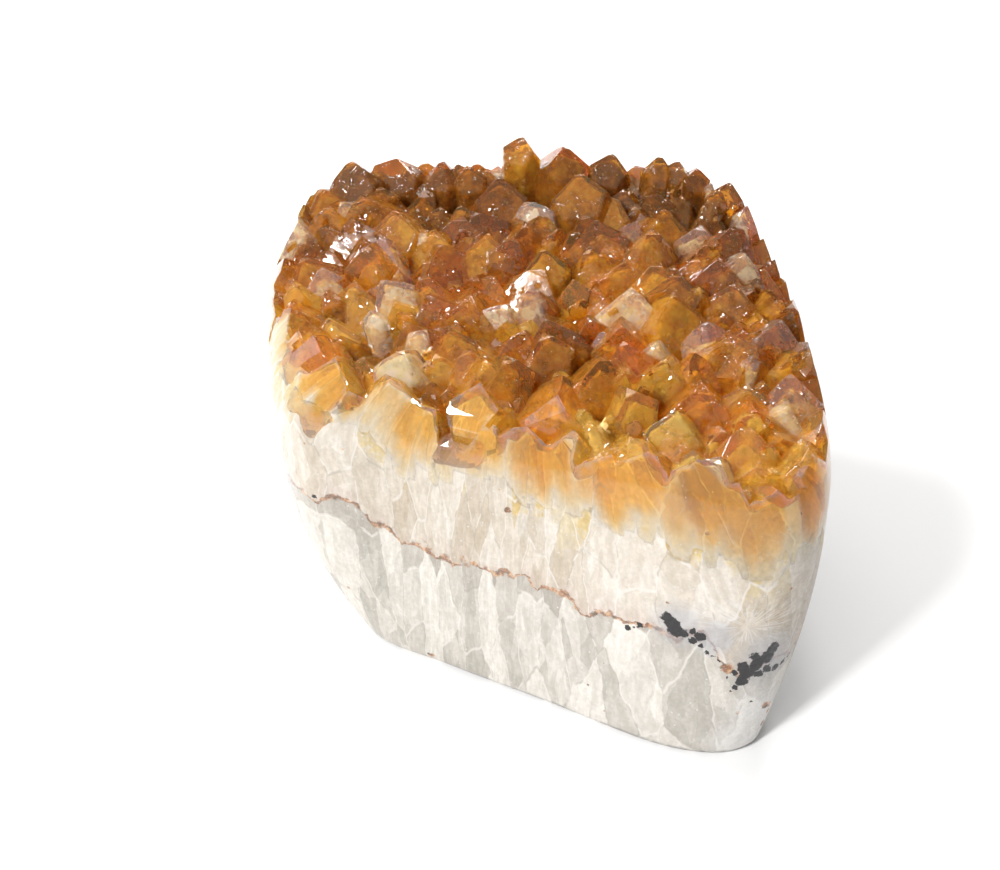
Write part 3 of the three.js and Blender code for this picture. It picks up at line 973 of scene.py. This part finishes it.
def needle_burst(tree, wall):
    """Where needles radiate beside the ore."""
    beside = calc(tree, "SUBTRACT", wall.around, NEEDLES[0])
    over = calc(tree, "SUBTRACT", wall.z, NEEDLES[1])
    spread = calc(tree, "ARCTAN2", over, beside)
    away = calc(tree, "SQRT", total(tree, product(tree, beside, beside), product(tree, over, over)))
    rays = vector_of(tree, product(tree, spread, 7), product(tree, away, 0.12))
    rays = put(tree, "TexNoise", {"Vector": rays, "Scale": 1.6, "Detail": 2.0}, noise_dimensions="2D")
    return product(tree, step(tree, rays.outputs["Fac"], 0.5, 0.62), step(tree, away, 12, 4), 0.45)


def seam_dashes(tree, wall):
    """The seam itself, thick and thin in turn, with gaps in it."""
    thick = calc(tree, "MAXIMUM", calc(tree, "MULTIPLY_ADD", wall.broad[1], 4.2, -1.0), 0.35)
    off_seam = calc(tree, "DIVIDE", calc(tree, "ABSOLUTE", wall.over_seam), thick)
    return product(tree, step(tree, off_seam, 1.0, 0.3), step(tree, wall.broad[2], 0.36, 0.46), 0.85)


def specks(tree, where):
    """Small round specks of rust, some of them nearly black."""
    shifted = vector_calc(tree, "ADD", where, (4, 9, 2))
    dots = put(tree, "TexVoronoi", {"Vector": shifted, "Scale": 1 / SPECK_SPACING}).outputs
    chosen = channels(tree, dots["Color"])
    reach = calc(tree, "MULTIPLY_ADD", chosen[2], 0.09, 0.02)
    near = calc(tree, "LESS_THAN", dots["Distance"], reach)
    return product(tree, near, step(tree, chosen[0], 0.6, 0.62), 0.8)


def wall_colour(tree, where, grains):
    """The polished wall: pointed columns of milky quartz in two layers with a rusty seam between them, the
    amber of the points running out into the upper layer, and the ore with its stains."""
    wall = wall_layout(tree, where)
    wall.clear = step(tree, attribute(tree, "clear"), 0.01, 0.1)
    colour = amber_run(tree, wall, milky_columns(tree, wall))
    colour = frost_and_outlines(tree, wall, grains, colour)
    # Painted shade: the milky wall a little darker on the left, and a third darker at the right end.
    shade = mix(tree, step(tree, wall.x, -50, 30), MILKY_PAINTED_SHADE_LEFT, MILKY_SHADE)
    shade = mix(tree, step(tree, wall.x, 50, 66), shade, MILKY_PAINTED_SHADE_RIGHT)
    colour = mix(tree, calc(tree, "SUBTRACT", 1, wall.clear), colour, shade, "MULTIPLY")
    # Painted shade with a deeper gold: the amber is drawn darker towards the right end of the wall.
    golden_and_painted_shade = product(tree, wall.clear, step(tree, wall.x, 20, 60))
    colour = mix(tree, golden_and_painted_shade, colour, GOLD_AND_PAINTED_SHADE, "MULTIPLY")
    colour = mix(tree, needle_burst(tree, wall), colour, NEEDLE_WHITE)
    rust = ramp(tree, wall.fine[1], RUST)
    colour = mix(tree, seam_dashes(tree, wall), colour, rust)
    colour = mix(tree, specks(tree, where), colour, rust)

    # Grey and chalky patches, rust, and the lobes of ore.
    warp = vector_of(tree, *(swing(tree, wall.fine[k], STAIN_WAVER) for k in range(3)))
    bent = vector_calc(tree, "ADD", where, warp)
    for places, tone, soft, strength in ((GREY_PATCHES, PATCH_GREY, 0.6, 0.6),
                                         (CHALK_PATCHES, PATCH_CHALK, 0.8, 0.6),
                                         (RUST_SPOTS, rust, 0.25, 0.95),
                                         (ORE_LUMPS, ORE_BLACK, 0.12, 1.0)):
        mask = step(tree, lumps(tree, bent, places), 1 + soft, 1 - soft)
        colour = mix(tree, product(tree, mask, strength), colour, tone)
    return colour


def milky_quartz_material():
    """The milky quartz of the bed and its polished wall."""
    material, tree = new_material("milky_quartz")
    where = millimetres(tree)
    grains = grain(tree, where, 0.9, 0.04)
    # Grime in the broken edge of the sawn base.
    low = step(tree, parts_of(tree, where)["Z"], 2.0, 0.7)
    chips = product(tree, low, step(tree, noise_of(tree, where, 5, 3, 0.6), 0.42, 0.55), 0.75)
    colour = mix(tree, chips, wall_colour(tree, where, grains), GRIME)
    relief = put(tree, "Bump", {"Strength": 0.3, "Distance": METRES, "Height": grains["Height"]})
    surface = put(tree, "BsdfPrincipled", {
        "Base Color": colour, "Roughness": 0.3, "Normal": relief.outputs[0],
    })
    put(tree, "OutputMaterial", {"Surface": surface.outputs[0]})
    return material


# Studio ---------------------------------------------------------------------------------------------------

def soft_box(name, place, size, power):
    data = bpy.data.lights.new(name, "AREA")
    data.shape = "RECTANGLE"
    data.size, data.size_y = size
    data.energy = power
    lamp = bpy.data.objects.new(name, data)
    lamp.location = place
    lamp.rotation_euler = (Vector(place) - Vector(LAMP_TARGET)).to_track_quat("Z", "Y").to_euler()
    bpy.context.scene.collection.objects.link(lamp)


def set_studio():
    scene = bpy.context.scene
    world = bpy.data.worlds.new("studio")
    world.use_nodes = True
    sky = world.node_tree
    # Brighter in front of the stone and on its left than behind it.
    direction = put(sky, "TexCoord").outputs["Generated"]
    away = put(sky, "VectorMath", {0: direction, 1: SKY_AWAY}, operation="DOT_PRODUCT").outputs["Value"]
    light = put(sky, "MapRange", {
        "Value": away, "From Min": -0.7, "From Max": 0.7, "To Min": SKY_FRONT, "To Max": SKY_BACK,
    })
    sky.links.new(light.outputs[0], sky.nodes["Background"].inputs["Strength"])
    sky.nodes["Background"].inputs["Color"].default_value = (1, 1, 1, 1)
    scene.world = world
    bm = bmesh.new()
    bmesh.ops.create_grid(bm, x_segments=1, y_segments=1, size=FLOOR_REACH)
    floor = mesh_object("floor", bm)
    scene.collection.objects.link(floor)
    material, tree = new_material("paper")
    surface = put(tree, "BsdfPrincipled", {"Base Color": PAPER, "Roughness": 0.9})
    put(tree, "OutputMaterial", {"Surface": surface.outputs[0]})
    floor.data.materials.append(material)
    soft_box("panel", *PANEL)
    for name, elevation, azimuth, power in LAMPS:
        lift = Matrix.Rotation(math.radians(-elevation), 3, "X")
        away = Matrix.Rotation(math.radians(azimuth), 3, "Z") @ lift @ Vector((0, -LAMP_DISTANCE, 0))
        soft_box(name, away + Vector(LAMP_TARGET), LAMP_SIZE, power)
    scene.view_settings.view_transform = "Standard"


def set_camera():
    """The camera looks down at the front of the stone."""
    target = Vector(CAMERA_TARGET)
    elevation = math.radians(CAMERA_ELEVATION)
    data = bpy.data.cameras.new("camera")
    data.sensor_width = 36
    data.lens = CAMERA_LENS
    camera = bpy.data.objects.new("camera", data)
    camera.location = target + CAMERA_DISTANCE * Vector((0, -math.cos(elevation), math.sin(elevation)))
    camera.rotation_euler = (camera.location - target).to_track_quat("Z", "Y").to_euler()
    bpy.context.scene.collection.objects.link(camera)
    bpy.context.scene.camera = camera


def set_light_paths():
    """Enough bounces for light to pass through several points."""
    cycles = bpy.context.scene.cycles
    cycles.max_bounces = 14
    cycles.diffuse_bounces = 4
    cycles.glossy_bounces = 4
    cycles.transmission_bounces = 12


def place_in_frame(piece, *materials):
    for material in materials:
        piece.data.materials.append(material)
    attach(piece, "root")
    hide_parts("citrine_cluster")


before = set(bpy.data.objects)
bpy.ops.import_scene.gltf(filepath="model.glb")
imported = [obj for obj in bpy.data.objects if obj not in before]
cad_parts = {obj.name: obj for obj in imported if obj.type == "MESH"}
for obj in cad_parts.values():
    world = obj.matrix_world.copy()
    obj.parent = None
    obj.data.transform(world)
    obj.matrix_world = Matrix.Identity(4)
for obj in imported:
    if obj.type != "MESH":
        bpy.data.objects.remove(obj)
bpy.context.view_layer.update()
set_camera()
set_studio()
set_light_paths()
points = crust_points()
points += young_points(points)
colour_points(points)
place_in_frame(build_clear_quartz(points), clear_quartz_material())
place_in_frame(build_milky_quartz(points), milky_quartz_material(), cloudy_heart_material())
